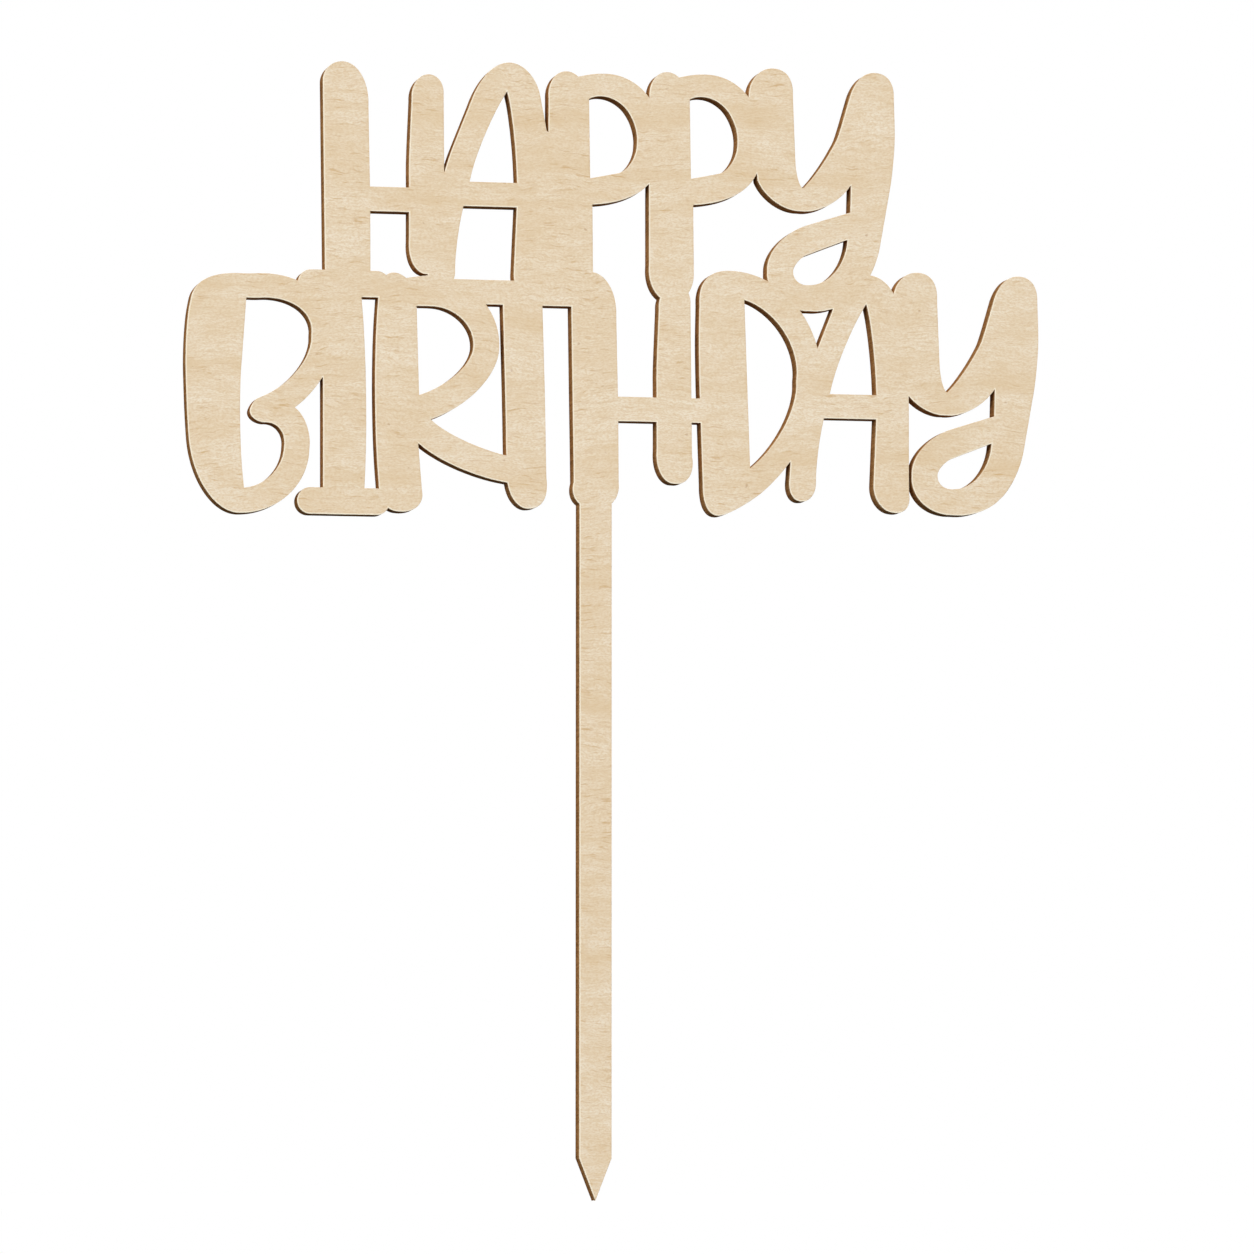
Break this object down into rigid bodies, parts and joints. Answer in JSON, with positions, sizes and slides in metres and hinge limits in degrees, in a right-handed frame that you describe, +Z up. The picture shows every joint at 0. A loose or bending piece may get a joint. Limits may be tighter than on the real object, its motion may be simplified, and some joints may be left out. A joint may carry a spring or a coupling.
{
  "type": "cake topper",
  "caption": "Flat laser-cut plywood cake topper: stacked rows of joined, round-ended capitals that spell a birthday greeting, carried on a pointed stake that pushes into a cake.",
  "frame": {"origin": "tip of the stake, on the stake's axis, half way through the sheet", "axes": "+Z up along the stake, +X to the right as the words are read, +Y from the front face to the back"},
  "size_m": [0.1407, 0.0032, 0.1839],
  "materials": {
    "face_veneer": "bare, fine-sanded pale veneer with a level grain; laser-browned on its cut edge",
    "core_veneer": "bare veneer with its grain upright, seen only on the laser-browned cut edge",
    "glue_line": "thin film of cured plywood resin, charred dark on the cut edge"
  },
  "bodies": {
    "root": {"front_veneer": "face_veneer", "front_glue_line": "glue_line", "core_veneer": "core_veneer", "back_glue_line": "glue_line", "back_veneer": "face_veneer"}
  },
  "joints": []
}
